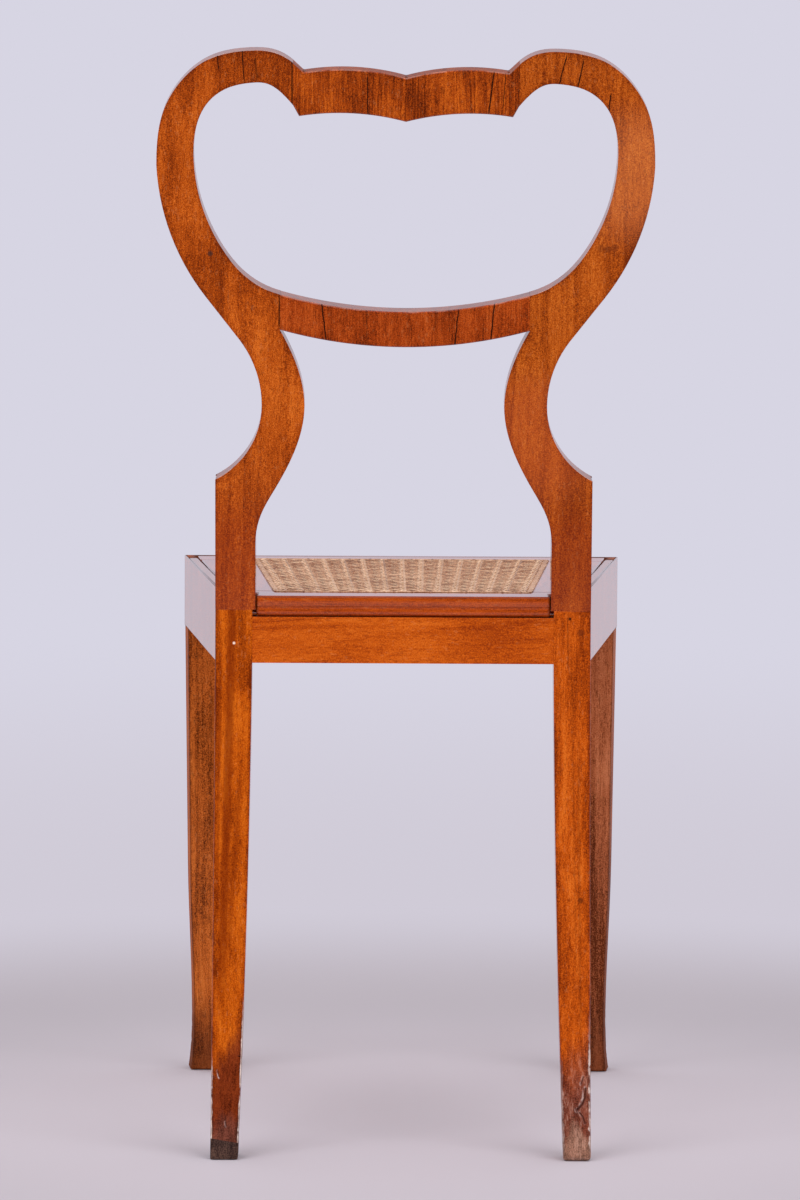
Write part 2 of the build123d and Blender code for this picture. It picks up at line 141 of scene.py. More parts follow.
def rgb(red, green, blue):  # screen colour as the linear values that nodes take
    linear = (
        ((part / 255 + 0.055) / 1.055) ** 2.4 if part > 10 else part / 3295
        for part in (red, green, blue)
    )
    return (*linear, 1.0)


# Camera, from behind the chair
cameraView = {
    "place": (0.0246, 5.3445, 0.896),
    "yaw": -0.244,  # degrees
    "pitch": 4.91,
    "roll": 0.305,
    "focal": 6342,  # in pixels of a picture this high
    "pictureHeight": 1200,
    "sensor": 36,
}


def setCamera(view):
    yaw, pitch, roll = (math.radians(view[key]) for key in ("yaw", "pitch", "roll"))
    turn = Matrix.Rotation(math.pi + yaw, 4, "Z") @ Matrix.Rotation(math.pi / 2 - pitch, 4, "X")
    turn = turn @ Matrix.Rotation(roll, 4, "Z")
    lens = bpy.data.cameras.new("chairCamera")
    lens.sensor_fit = "VERTICAL"
    lens.sensor_height = view["sensor"]
    lens.lens = view["focal"] / view["pictureHeight"] * view["sensor"]
    camera = addObject("chairCamera", lens)
    camera.matrix_world = Matrix.Translation(view["place"]) @ turn
    bpy.context.scene.camera = camera


setCamera(cameraView)
bpy.context.scene.view_settings.view_transform = "Standard"
print("camera set")


# Studio: one pale floor that runs out to a pale surround, soft lamps, a dim room behind the viewer
studio = {
    "floorUnderPaintedLight": rgb(212, 203, 213),  # painted lighter under the chair, to even out its own soft shadow
    # painted shade: the floor darker around the chair
    "floorNearPaintedShade": rgb(193, 185, 194),
    "floorMiddle": rgb(208, 203, 215),
    "surround": rgb(215, 213, 227),
    "floorHalf": 40,
    "floorDrop": 0.0004,  # just under the feet
    "nearReach": (0.15, 0.65),  # metres from the chair, from tone to tone
    "middleReach": (0.68, 1.3),
    "farReach": (1.3, 4.5),
    "ambient": 0.66,
    "dimRoom": 0.05,  # how bright the viewer's side is to the polish
    "dimFloor": (0.5, 2.0),  # metres, where the mirrored floor dims
    "dimAhead": (0.1, 0.7),  # how far a mirrored ray that dims points at the viewer
    "dimEnds": (0.3, 0.8),  # how far up it points where that ends
    "lamps": {  # place, aim, size and power
        "lampLeft": ((2.8, 3.4, 2.5), (0, 0, 0.5), (3.6, 3.4), 82),
        "lampRight": ((-2.8, 3.4, 2.5), (0, 0, 0.5), (3.6, 3.4), 82),
        "lampTop": ((0, -0.2, 4.2), (0, 0, 0.3), (3.6, 3.6), 30),
    },
}
black, white = rgb(0, 0, 0), rgb(255, 255, 255)


def mirroredRays(sheet):  # mirrored rays, and all rays that see the surround
    kinds = ("Is Glossy Ray", "Is Camera Ray", "Is Transmission Ray")
    mirrored, seen, passed = (sheet.node("LightPath", output=kind) for kind in kinds)
    return mirrored, (seen + mirrored + passed).maths("MINIMUM", 1.0)


def makeFloor():
    half = studio["floorHalf"]
    signs = ((-1, -1), (1, -1), (1, 1), (-1, 1))
    mesh = bpy.data.meshes.new("floor")
    corners = [(half * x, half * y, -studio["floorDrop"]) for x, y in signs]
    mesh.from_pydata(corners, [], [(0, 1, 2, 3)])
    floor = addObject("floor", mesh)
    material = bpy.data.materials.new("paleFloor")
    sheet = Sheet(material)
    place = sheet.node("TexCoord", output="Object")
    reach = sheet.vector("LENGTH", place, None, "Value")
    reaches = ("nearReach", "middleReach", "farReach")
    near, middle, far = (sheet.fade(reach, *studio[key]) for key in reaches)
    # painted light under the chair, painted shade around it
    colour = sheet.blend(near, studio["floorUnderPaintedLight"], studio["floorNearPaintedShade"])
    colour = sheet.blend(middle, colour, studio["floorMiddle"])
    colour = sheet.blend(far, colour, studio["surround"])
    mirrored, shown = mirroredRays(sheet)
    towards = sheet.fade(sheet.axis(place, "Y"), *studio["dimFloor"])
    dimmed = towards * mirrored * (1.0 - studio["dimRoom"])
    matte = sheet.node("BsdfDiffuse", {"Color": colour})
    glow = sheet.node("Emission", {"Color": sheet.blend(dimmed, colour, black)})
    surface = sheet.node("MixShader", [middle * shown, matte, glow])
    sheet.node("OutputMaterial", {"Surface": surface})
    mesh.materials.append(material)


def makeWorld():
    world = bpy.data.worlds.new("surround")
    sheet = Sheet(world)
    heading = sheet.node("TexCoord", output="Generated")
    ahead = sheet.fade(sheet.axis(heading, "Y"), *studio["dimAhead"])
    low = 1.0 - sheet.fade(sheet.axis(heading, "Z"), *studio["dimEnds"])
    mirrored, shown = mirroredRays(sheet)
    dimmed = ahead * low * mirrored * (1.0 - studio["dimRoom"])
    colour = sheet.blend(dimmed, studio["surround"], black)
    ambient = {"Color": white, "Strength": studio["ambient"]}
    lit = sheet.node("Background", ambient)
    glow = sheet.node("Background", {"Color": colour})
    surface = sheet.node("MixShader", [shown, lit, glow])
    sheet.node("OutputWorld", {"Surface": surface})
    bpy.context.scene.world = world


def makeLamps():
    for name, (place, aim, size, power) in studio["lamps"].items():
        lamp = bpy.data.lights.new(name, "AREA")
        lamp.shape = "RECTANGLE"
        lamp.size, lamp.size_y = size
        lamp.energy = power
        holder = addObject(name, lamp)
        holder.location = place
        heading = Vector(aim) - Vector(place)
        holder.rotation_euler = heading.to_track_quat("-Z", "Y").to_euler()
        holder.visible_camera = False
        holder.visible_glossy = False  # the polish mirrors the surround alone


makeFloor()
makeWorld()
makeLamps()
print("studio made")


# Polished wood: growth lines, streaks, pores and blotches along the grain, under a clear polish
backLean = math.radians(7.5)
upright = (0.0, 0.0, 0.0)  # turns that bring the grain to the z axis of the pattern
leaning = (backLean, 0.0, 0.0)
crosswise = (0.0, -math.pi / 2, 0.0)
lengthwise = (math.pi / 2, 0.0, 0.0)

plainWood = {
    "turn": upright,
    "shift": (0.0, 0.0, 0.0),  # where on the plank the piece was cut
    "dark": rgb(108, 38, 6), "mid": rgb(172, 73, 13), "light": rgb(212, 106, 32),
    "toneStops": (0.05, 0.5, 0.95),  # tones that show dark, mid and light
    "usualTone": 0.55,
    "swing": (15, 6),  # waves a metre that the lines swing in, across and along
    "wander": 0.006,  # metres that they swing sideways
    "figure": (15, 1.4, 1.2, 0.4),  # broad waves: across, along, detail, distortion
    "rings": 11,  # growth lines over one such wave
    "ringDepth": 0.15,
    "lateWood": (0.25, 0.86, 0.88, 1.0),  # where the dark starts, is full, fades, ends
    "band": (60, 4), "bandDepth": 0.2,
    "streak": (260, 7), "streakDepth": 0.3,
    "fibre": (950, 150), "fibreDepth": 0.28,
    "speckle": (1050, 1050),  # tiny mottling that runs no way
    "speckleDepth": 0.66,
    "blotch": (38, 22.8), "blotchDepth": 0.26,
    "pores": (800, 150, 1),  # across, along, detail
    "poreEdge": (0.58, 0.7),
    "poreDepth": 0.45,
    "flecks": (520, 190, 1),
    "fleckPatch": 0.25,  # how far the blotches gather them
    "fleckEdge": (0.62, 0.74),
    "fleckDepth": 0.12,
    "fleckColour": rgb(226, 150, 92),
    "cathedral": None,  # nested arches of grain: across, height, curve, spacing, reach, change
    "archShape": {"swing": 0.3, "edge": (0.5, 0.1), "middle": 0.4, "core": 0.3},
    "rimDepth": 0.34,  # darker towards the edges: partly polish build-up and dirt, partly painted shade
    "zones": (),  # darker or lighter parts: across, height, radius, change
    "zoneCore": 0.15,  # share of the radius that is full
    "lines": (),  # cracks and streaks: across, low, high, slant, width, strength
    "lineColour": rgb(42, 14, 6),
    "lineWobble": (160, 0.0012),  # waves a metre and metres sideways
    "lineCore": 0.3,  # share of the width that is full
    "lineEnds": 0.12,  # share of the length that fades
    "spots": (),  # dents, dots, a painted glint and a painted sheen: across, height, radius, colour, strength
    "spotCore": 0.4,
    "worn": (),  # rubbed parts of a foot: height, slant, softness, colour, strength
    "scraped": 0.0,  # pale bare grain in the rubbed part
    "paleEdges": (0.0, 0.0),  # painted glints and chipped polish on the rubbed edges, inner and outer
    "paleReach": (0.79, 0.88),  # where that starts and is full, 1 at the corner
    "paleBreak": 0.45,  # how torn that line is
    "glintAndChipColour": rgb(244, 224, 214),
    "edgeDark": 0.0,  # painted shade and dark reflection on the rounded corners, with some grime
    "edgeShadeAndGrimeColour": rgb(52, 28, 22),
    "edgeWorn": 0.0,  # painted highlight on corners that face up, with polish rubbed pale there
    "edgeUpward": (0.1, 0.45),  # how far up they have to face
    "upEdgeSheenPatches": (55, 55),
    "upEdgeSheenPatchEdge": (0.4, 0.58),
    "upEdgeSheenAndWearColour": rgb(240, 200, 186),
    "roughness": 0.34, "roughnessSpread": 0.2,
    "relief": {"Strength": 0.1, "Distance": 0.0004}, "fibreRelief": 0.5,
    "specular": 0.0,  # the polish on top does the mirroring
    "coat": 0.9, "coatRoughness": 0.06,
}
grainDetail = {"band": 3.0, "streak": 3.0, "fibre": 2.0, "blotch": 4.0, "speckle": 2.0}
rubbing = {  # what the rubbed parts of all feet share
    "ragged": {"band": 0.05, "blotch": 0.04, "fibre": 0.012},  # metres that these shift its edge
    "shade": ((0.1, 0.35), (0.9, 1.5)),  # tones, and how bright the worn colour is there
    "knocks": (260, 170, 3),
    "relief": {"Strength": 0.5, "Distance": 0.0012},
    "scuffs": (330, 120, 3),
    "scuffEdge": (0.42, 0.58),
    "scuffShare": 0.45,  # how far scuffs break up the painted glints and chips
    "bareFibre": 0.8, "bareEdge": (0.52, 0.72),
    "bareColour": rgb(196, 156, 138),
    "rougher": 0.1, "duller": 0.5,
    "outerHalf": (0.14, 0.152),  # metres from the chair's middle
    "offSole": (0.008, 0.018),  # metres up where the painted glints and chips start
    # painted shade in the gouges' hollows
    "grooveShade": 0.75,
    "litLipColour": rgb(236, 208, 198),  # painted highlight on the lit lips of the gouges
}


def strongest(masks):
    return functools.reduce(lambda first, second: first.maths("MAXIMUM", second), masks)


def disc(sheet, place, x, z, radius, core):
    flat = sheet.vector("MULTIPLY", place, (1.0, 0.0, 1.0))
    away = sheet.vector("DISTANCE", flat, (x, 0.0, z), "Value")
    return 1.0 - sheet.fade(away, radius * core, radius)


def cracks(sheet, look, place, across, up):
    scale, reach = look["lineWobble"]
    wobble = (sheet.noise(place, scale, scale) - 0.5) * reach
    masks = []
    for x, low, high, slant, width, strength in look["lines"]:
        offset = across - x - (up - (low + high) / 2) * slant + wobble
        line = 1.0 - sheet.fade(offset.maths("ABSOLUTE"), width * look["lineCore"], width)
        ends = (high - low) * look["lineEnds"]
        above = sheet.fade(up, low - ends, low + ends)
        below = 1.0 - sheet.fade(up, high - ends, high + ends)
        masks.append(line * (above * below) * strength)
    return strongest(masks)


def rubFoot(sheet, look, wood, colour, values):  # changes the shader's values too
    across, up, streaks, fibres = (wood[key] for key in ("across", "up", "streak", "fibre"))
    shades = [(tone, (bright, bright, bright, 1.0)) for tone, bright in rubbing["shade"]]
    masks = []
    for height, slant, softness, wornColour, strength in look["worn"]:
        ragged = up + across * slant
        for pattern, shift in rubbing["ragged"].items():
            ragged = ragged + (wood[pattern] - 0.5) * shift
        worn = (1.0 - sheet.fade(ragged, height - softness, height + softness)) * strength
        shade = sheet.ramp(wood["tone"], shades)
        tinted = sheet.blend(1.0, shade, wornColour, "MULTIPLY")
        colour = sheet.blend(worn, colour, tinted)
        masks.append(worn)
    rubbed = strongest(masks)
    knocks = sheet.noise(wood["plank"], *rubbing["knocks"])
    scuffs = sheet.fade(sheet.noise(wood["plank"], *rubbing["scuffs"]), *rubbing["scuffEdge"])
    bare = sheet.fade(streaks + (fibres - 0.5) * rubbing["bareFibre"], *rubbing["bareEdge"])
    bare = bare * rubbed * look["scraped"]
    colour = sheet.blend(bare, colour, rubbing["bareColour"])
    # painted glints and chipped polish along the rubbed edges of a foot
    inner, outer = look["paleEdges"]
    side = sheet.fade(across.maths("ABSOLUTE"), *rubbing["outerHalf"]) * (outer - inner) + inner
    torn = wood["rim"] + (knocks - 0.5) * look["paleBreak"]
    offSole = sheet.fade(up, *rubbing["offSole"])
    share = rubbing["scuffShare"]
    glintsAndChips = sheet.fade(torn, *look["paleReach"]) * offSole * rubbed * side
    glintsAndChips = glintsAndChips * (scuffs * share + (1.0 - share))
    colour = sheet.blend(glintsAndChips, colour, look["glintAndChipColour"])
    values["Roughness"] = values["Roughness"] + rubbed * rubbing["rougher"]
    dulled = 1.0 - rubbed * (1.0 - scuffs) * rubbing["duller"]
    values["Coat Weight"] = dulled * values["Coat Weight"]
    relief = {**rubbing["relief"], "Height": knocks * rubbed, "Normal": values["Normal"]}
    values["Normal"] = sheet.node("Bump", relief)
    # painted shade in the gouges, painted highlight on their lit lips
    groove = sheet.attribute("groove") * rubbing["grooveShade"]
    colour = sheet.blend(groove, colour, plainWood["lineColour"])
    return sheet.blend(sheet.attribute("lip") * scuffs, colour, rubbing["litLipColour"])


def polishedWood(name, changes):
    look = {**plainWood, **changes}
    material = bpy.data.materials.new(name)
    sheet = Sheet(material)
    place = sheet.node("TexCoord", output="Object")
    across, up = sheet.axis(place, "X"), sheet.axis(place, "Z")
    rim = sheet.attribute("rim")
    turning = {"Vector": place, "Rotation": look["turn"]}
    turned = sheet.node("VectorRotate", turning, {"rotation_type": "EULER_XYZ"})
    plank = sheet.vector("ADD", turned, look["shift"])
    swing = (sheet.noise(plank, *look["swing"]) - 0.5) * (2 * look["wander"])
    sideways = sheet.node("CombineXYZ", {"X": swing, "Y": swing})
    plank = sheet.vector("ADD", plank, sideways)
    growth = (sheet.noise(plank, *look["figure"]) * look["rings"]).maths("FRACT")
    starts, full, fades, ends = look["lateWood"]
    lateWood = sheet.fade(growth, starts, full) * (1.0 - sheet.fade(growth, fades, ends))
    tone = look["usualTone"] - lateWood * look["ringDepth"]
    wood = {"across": across, "up": up, "rim": rim, "plank": plank}
    for pattern, detail in grainDetail.items():
        wood[pattern] = sheet.noise(plank, *look[pattern], detail)
        tone = tone + (wood[pattern] - 0.5) * (2 * look[pattern + "Depth"])
    # darker towards the edges: polish build-up and dirt, and painted shade
    tone = tone - rim * rim * look["rimDepth"]
    for x, z, radius, change in look["zones"]:
        tone = tone + disc(sheet, place, x, z, radius, look["zoneCore"]) * change
    if look["cathedral"]:
        x, z, curve, spacing, reach, change = look["cathedral"]
        arch = look["archShape"]
        aside = across - x + swing * arch["swing"]
        height = (up - z - aside * aside * curve) * (1 / spacing)
        lines = sheet.fade((height.maths("FRACT") - 0.5).maths("ABSOLUTE"), *arch["edge"])
        reached = disc(sheet, place, x, z + reach * arch["middle"], reach, arch["core"])
        tone = tone + lines * reached * change
    wood["tone"] = tone
    shades = zip(look["toneStops"], (look["dark"], look["mid"], look["light"]))
    colour = sheet.ramp(tone, list(shades))
    pores = sheet.fade(sheet.noise(plank, *look["pores"]), *look["poreEdge"])
    colour = sheet.blend(pores * look["poreDepth"], colour, look["dark"])
    blotch = wood["blotch"] - 0.5
    flecks = sheet.noise(plank, *look["flecks"]) + blotch * look["fleckPatch"]
    flecks = sheet.fade(flecks, *look["fleckEdge"]) * look["fleckDepth"]
    colour = sheet.blend(flecks, colour, look["fleckColour"])
    eased = sheet.attribute("eased")
    # painted shade and dark reflection, with some grime, on the rounded corners
    if look["edgeDark"]:
        colour = sheet.blend(eased * look["edgeDark"], colour, look["edgeShadeAndGrimeColour"])
    # painted highlight, with some rubbed polish, on corners that face up
    if look["edgeWorn"]:
        facing = sheet.node("NewGeometry", output="Normal")
        upward = sheet.fade(sheet.axis(facing, "Z"), *look["edgeUpward"])
        sheenPatches = sheet.fade(sheet.noise(place, *look["upEdgeSheenPatches"]), *look["upEdgeSheenPatchEdge"])
        pale = eased * upward * sheenPatches * look["edgeWorn"]
        colour = sheet.blend(pale, colour, look["upEdgeSheenAndWearColour"])
    relief = wood["streak"] + wood["fibre"] * look["fibreRelief"]
    values = {
        "Roughness": look["roughness"] + blotch * look["roughnessSpread"],
        "Normal": sheet.node("Bump", {**look["relief"], "Height": relief}),
        "Specular IOR Level": look["specular"],
        "Coat Weight": look["coat"],
        "Coat Roughness": look["coatRoughness"],
    }
    if look["worn"]:
        colour = rubFoot(sheet, look, wood, colour, values)
    if look["lines"]:
        cracked = cracks(sheet, look, place, across, up)
        colour = sheet.blend(cracked, colour, look["lineColour"])
    for x, z, radius, spotColour, strength in look["spots"]:
        spot = disc(sheet, place, x, z, radius, look["spotCore"]) * strength
        colour = sheet.blend(spot, colour, spotColour)
    values["Base Color"] = colour
    surface = sheet.node("BsdfPrincipled", values)
    sheet.node("OutputMaterial", {"Surface": surface})
    return material


# Finishes of the pieces. Zones, lines and spots stand where the photo shows them, in metres
crestLook = {
    "turn": leaning,
    "dark": rgb(84, 27, 5), "mid": rgb(157, 63, 11), "light": rgb(204, 98, 24),
    "rings": 5, "ringDepth": 0.15, "streak": (780, 8), "streakDepth": 0.62,
    "band": (130, 4), "bandDepth": 0.24, "blotch": (42, 25.2), "blotchDepth": 0.4,
    "rimDepth": 0.1, "edgeWorn": 0.18,
    "zones": (
        (0.057, 0.868, 0.022, -0.05), (-0.004, 0.86, 0.02, -0.2), (-0.045, 0.866, 0.03, 0.15),
    ),
    "lines": (
        (0.0311, 0.848, 0.88, 0.02, 0.0007, 0.9), (-0.0684, 0.849, 0.884, -0.12, 0.0009, 1.0),
        (-0.0788, 0.853, 0.883, -0.08, 0.0006, 0.8),
    ),
}
lowerRailLook = {
    **crestLook,
    "shift": (0.31, 0.0, 0.2),
    "mid": rgb(156, 59, 13), "light": rgb(194, 88, 30),
    "streakDepth": 0.4, "bandDepth": 0.16,
    "zones": ((0.085, 0.686, 0.03, 0.2),),
    "lines": (
        (0.0655, 0.664, 0.698, 0.12, 0.0008, 1.0), (0.031, 0.662, 0.69, 0.03, 0.0005, 0.5),
        (-0.0418, 0.66, 0.692, -0.09, 0.0008, 1.0), (-0.0709, 0.664, 0.697, -0.09, 0.0009, 1.0),
    ),
}
leftStileLook = {
    "turn": leaning, "shift": (0.0, 0.0, 0.11),
    "fibreDepth": 0.34, "speckleDepth": 0.8, "rimDepth": 0.24, "edgeWorn": 0.85,
    "zones": (
        (0.135, 0.895, 0.07, -0.24), (0.137, 0.49, 0.08, -0.14), (0.1, 0.62, 0.055, 0.2),
        (0.158, 0.722, 0.05, -0.24), (0.125, 0.675, 0.035, 0.16),
    ),
    "lines": (
        (0.1511, 0.884, 0.898, 0.09, 0.0006, 1.0), (0.1311, 0.874, 0.902, 0.07, 0.0007, 1.0),
        (0.1204, 0.876, 0.893, 0.1, 0.0014, 0.6), (0.0917, 0.845, 0.892, 0.0, 0.0012, 0.75),
        (0.1016, 0.676, 0.702, 0.0, 0.0011, 0.8),
    ),
    "spots": (
        (0.1574, 0.7357, 0.003, rgb(60, 40, 34), 0.8),
        (0.137, 0.468, 0.085, rgb(150, 42, 4), 0.26),
    ),
    "cathedral": (0.117, 0.658, 110, 0.0115, 0.046, -0.14),
}
rightStileLook = {
    "turn": leaning, "shift": (0.7, 0.0, 0.41),
    "mid": rgb(174, 78, 16), "light": rgb(208, 110, 36),
    "speckleDepth": 0.76, "rimDepth": 0.24, "edgeWorn": 0.85,
    "zones": (
        (-0.188, 0.8, 0.06, 0.15), (-0.14, 0.51, 0.09, -0.24), (-0.17, 0.73, 0.04, -0.08),
        (-0.135, 0.886, 0.055, -0.12),
    ),
    "lines": (
        (-0.1256, 0.873, 0.896, -0.25, 0.0008, 1.0), (-0.14, 0.87, 0.893, -0.21, 0.0008, 1.0),
        (-0.1636, 0.852, 0.866, -0.14, 0.0008, 1.0),
    ),
    "spots": (
        (-0.158, 0.7414, 0.0045, rgb(96, 36, 14), 0.45),
        (-0.1635, 0.7408, 0.004, rgb(84, 32, 14), 0.5),
        (-0.169, 0.742, 0.004, rgb(96, 36, 14), 0.45),
        (-0.137, 0.468, 0.085, rgb(148, 40, 4), 0.28),
        (-0.108, 0.585, 0.07, rgb(182, 80, 46), 0.3),
        # painted sheen: a pale haze over the right ring
        (-0.188, 0.8, 0.07, rgb(216, 152, 116), 0.1),
    ),
}
frontFaceLook = {"turn": leaning, "shift": (1.3, 0.0, 0.9), "coat": 0.6}
frontCrestLook = {**crestLook, "shift": (2.1, 0.0, 0.5), "zones": (), "lines": (), "coat": 0.6}
edgeLook = {
    "turn": leaning, "shift": (0.2, 0.5, 0.3),
    "dark": rgb(78, 28, 10), "mid": rgb(140, 60, 20), "light": rgb(174, 86, 36), "coat": 0.85,
    "rimDepth": 0.0, "edgeDark": 0.4,
}
crestEdgeLook = {**edgeLook, "shift": (0.6, 0.5, 0.1), "coat": 0.28}
rearRailLook = {
    "turn": crosswise, "shift": (0.0, 0.3, 0.0),
    "dark": rgb(138, 48, 8), "mid": rgb(191, 82, 13), "light": rgb(218, 108, 30),
    "streak": (300, 4), "streakDepth": 0.26, "blotchDepth": 0.2,
    "zones": ((-0.085, 0.425, 0.06, -0.18), (0.01, 0.425, 0.06, 0.1)),
}
leftLegLook = {
    "shift": (0.4, 0.0, 0.7),
    "dark": rgb(112, 38, 2), "mid": rgb(184, 79, 7), "light": rgb(216, 108, 22),
    "bandDepth": 0.4, "streakDepth": 0.46,
    "lines": (
        (0.1428, 0.14, 0.47, -0.0233, 0.005, 0.6), (0.1375, 0.16, 0.3, -0.06, 0.003, 0.35),
        (0.15, 0.2, 0.4, -0.01, 0.0016, 0.35),
    ),
    "lineColour": rgb(118, 36, 2),
    # painted glint on a small dent
    "spots": ((0.1381, 0.4166, 0.0015, rgb(255, 226, 206), 0.95),),
    "paleEdges": (0.95, 0.9), "paleReach": (0.78, 0.87), "paleBreak": 0.36,
    "zones": ((0.143, 0.4, 0.06, -0.2),),
    "worn": (
        (0.401, 2.2, 0.016, rgb(102, 37, 19), 0.85), (0.026, 0.0, 0.012, rgb(112, 72, 62), 0.55),
    ),
}
rightLegLook = {
    "shift": (0.9, 0.0, 0.2),
    "dark": rgb(118, 40, 4), "mid": rgb(190, 80, 11), "light": rgb(220, 110, 32),
    "bandDepth": 0.34, "streakDepth": 0.46,
    "lines": (
        (-0.1349, 0.398, 0.444, 0.01, 0.0006, 0.45), (-0.1452, 0.1, 0.33, 0.012, 0.0016, 0.22),
        (-0.1405, 0.15, 0.4, 0.02, 0.0012, 0.18),
    ),
    "paleEdges": (0.3, 1.0), "paleReach": (0.68, 0.8), "paleBreak": 0.6,
    "spots": (
        (-0.1364, 0.4377, 0.0018, rgb(40, 18, 10), 0.9),
        (-0.1454, 0.4262, 0.004, rgb(90, 34, 14), 0.6),
        (-0.1462, 0.208, 0.0032, rgb(90, 36, 10), 0.7),
    ),
    "zones": ((-0.147, 0.14, 0.06, 0.05),),
    "worn": (
        (-0.14, 1.5, 0.026, rgb(112, 62, 52), 0.85), (0.02, 0.0, 0.006, rgb(162, 118, 98), 0.8),
    ),
    "scraped": 0.35,
}
leftFrontLegLook = {
    "shift": (0.15, 0.6, 0.4),
    "dark": rgb(84, 34, 10), "mid": rgb(187, 92, 34), "light": rgb(212, 120, 53),
    "bandDepth": 0.32, "streakDepth": 0.42, "coat": 0.12, "edgeDark": 0.4,
    "zones": ((0.172, 0.456, 0.022, -0.6),),
    "worn": ((0.05, 0.0, 0.03, rgb(98, 46, 24), 0.8),),
}
rightFrontLegLook = {
    **leftFrontLegLook,
    "shift": (0.55, 0.6, 0.1),
    "mid": rgb(164, 88, 54), "light": rgb(192, 114, 76),
    "bandDepth": 0.46, "streakDepth": 0.5,
    "zones": ((-0.17, 0.12, 0.13, -0.28), (-0.172, 0.456, 0.022, -0.6)),
}
tipLook = {
    "shift": (0.5, 0.5, 0.5),
    "dark": rgb(26, 18, 16), "mid": rgb(54, 37, 34), "light": rgb(96, 70, 60), "coat": 0.12,
    "fleckDepth": 0.0, "specular": 0.05, "roughness": 0.6,
}
railVeneerLook = {
    "shift": (0.5, 0.1, 0.6),
    "streakDepth": 0.42, "mid": rgb(160, 68, 14), "coat": 1.0, "edgeDark": 0.8,
}
frontRailLook = {**railVeneerLook, "shift": (0.8, 0.1, 0.3), "coat": 0.6}
railCoreLook = {
    "turn": lengthwise,
    "mid": rgb(150, 72, 24), "light": rgb(180, 102, 46), "coat": 1.0, "edgeDark": 0.7,
}
seatSideLook = {
    "turn": lengthwise, "shift": (0.2, 0.1, 0.0),
    "mid": rgb(156, 64, 18), "coat": 1.0, "edgeDark": 0.6,
}
seatCrossLook = {
    "turn": crosswise, "shift": (0.2, 0.4, 0.8),
    "dark": rgb(104, 32, 6), "mid": rgb(166, 64, 10), "light": rgb(196, 84, 18), "coat": 1.0,
    "edgeDark": 0.3,
}

pieces = {  # each finish: its look, and the solids that take it
    "crestVeneer": (crestLook, "rear_veneer_crest"),
    "lowerRailVeneer": (lowerRailLook, "rear_veneer_lower_rail"),
    "leftStileVeneer": (leftStileLook, "rear_veneer_stile_left"),
    "rightStileVeneer": (rightStileLook, "rear_veneer_stile_right"),
    "frontCrestVeneer": (frontCrestLook, "front_veneer_crest", "front_veneer_lower_rail"),
    "frontVeneer": (frontFaceLook, "front_veneer_stile_left", "front_veneer_stile_right"),
    "backEdges": (edgeLook, "back_stile_left", "back_stile_right", "lower_back_rail"),
    "crestEdges": (crestEdgeLook, "crest_rail"),
    "leftLegWood": (leftLegLook, "rear_leg_left"),
    "rightLegWood": (rightLegLook, "rear_leg_right"),
    "splicedTipWood": (tipLook, "rear_foot_tip_left"),
    "leftFrontLegWood": (leftFrontLegLook, "front_leg_left"),
    "rightFrontLegWood": (rightFrontLegLook, "front_leg_right"),
    "rearRailWood": (rearRailLook, "rear_seat_rail"),
    "railCore": (railCoreLook, "side_seat_rail_left", "side_seat_rail_right", "front_seat_rail"),
    "railVeneer": (railVeneerLook, "side_rail_veneer_left", "side_rail_veneer_right"),
    "frontRailVeneer": (frontRailLook, "front_rail_veneer"),
    "seatSideWood": (seatSideLook, "seat_frame_left", "seat_frame_right"),
    "seatCrossWood": (seatCrossLook, "seat_frame_rear", "seat_frame_front"),
}
woods, finishOf = {}, {}
for finish, (look, *solids) in pieces.items():
    woods[finish] = polishedWood(finish, look)
    finishOf.update({node: finish for node in solids})
print("woods made:", len(woods))

record = frame["record"]
bodyOf = {
    node: body for body, members in record["behaviour"]["bodies"].items() for node in members
}


def placePiece(piece, node):  # stands in for a solid, on its body
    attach(piece, bodyOf[node])
    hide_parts(node)


# Wood with eased edges: the solid's mesh, its corners rounded except along the seams
easing = {
    "width": 0.00112,
    "seamShare": 0.15,  # of that width, where two pieces meet flush
    "leafShare": 0.02,  # where a veneer leaf lies on its core
    "steps": 3,
    "cornerAngle": 25,  # degrees, anything flatter is a curve
    "flatAngle": 0.3,  # degrees, anything flatter is one face
    "seamReach": 0.00008,
    "railReach": 0.0008,
    "rimWidth": 0.006,  # how far the dark rim reaches in
    "grid": 0.005,  # faces are cut this fine for it
}
weld = 1e-6  # metres, corners nearer than this are one
sameLevel = 1e-4
battered = {  # feet: height of the damage, depth of chips, roundness, the inner edges' share of it
    "rear_leg_left": (0.085, 0.0003, 0.0018, 1.0),
    "rear_leg_right": (0.1, 0.0003, 0.003, 0.35),
    "rear_foot_tip_left": (0.02, 0.0001, 0.0012, 1.0),
    "front_leg_left": (0.05, 0.0006, 0.0018, 1.0),
    "front_leg_right": (0.05, 0.0006, 0.0018, 1.0),
}
chipping = {
    "step": 0.0026,  # between the cuts that the chips follow
    "firstCut": 0.0055,  # above the sole
    "sole": 0.0012,  # stays whole
    "reach": 1.3,  # of the damage's height
    "fading": (1.6, 1.2),  # full low down, then less with height
    "edgeFading": 1.5,
    "bumps": ((170, 1.0), (390, 0.7)),  # bumps a metre and their share
    "lift": 0.1,
    "sameRing": 1e-5,
}
ownWidth = {  # pieces rounded more or less than the rest
    "seat_frame_rear": 0.0018,
    "seat_frame_left": 0.0016,
    "seat_frame_right": 0.0016,
    "seat_frame_front": 0.0018,
    "side_rail_veneer_left": 0.0005,  # under half the leaf's thickness
    "side_rail_veneer_right": 0.0005,
    "front_rail_veneer": 0.0005,
}
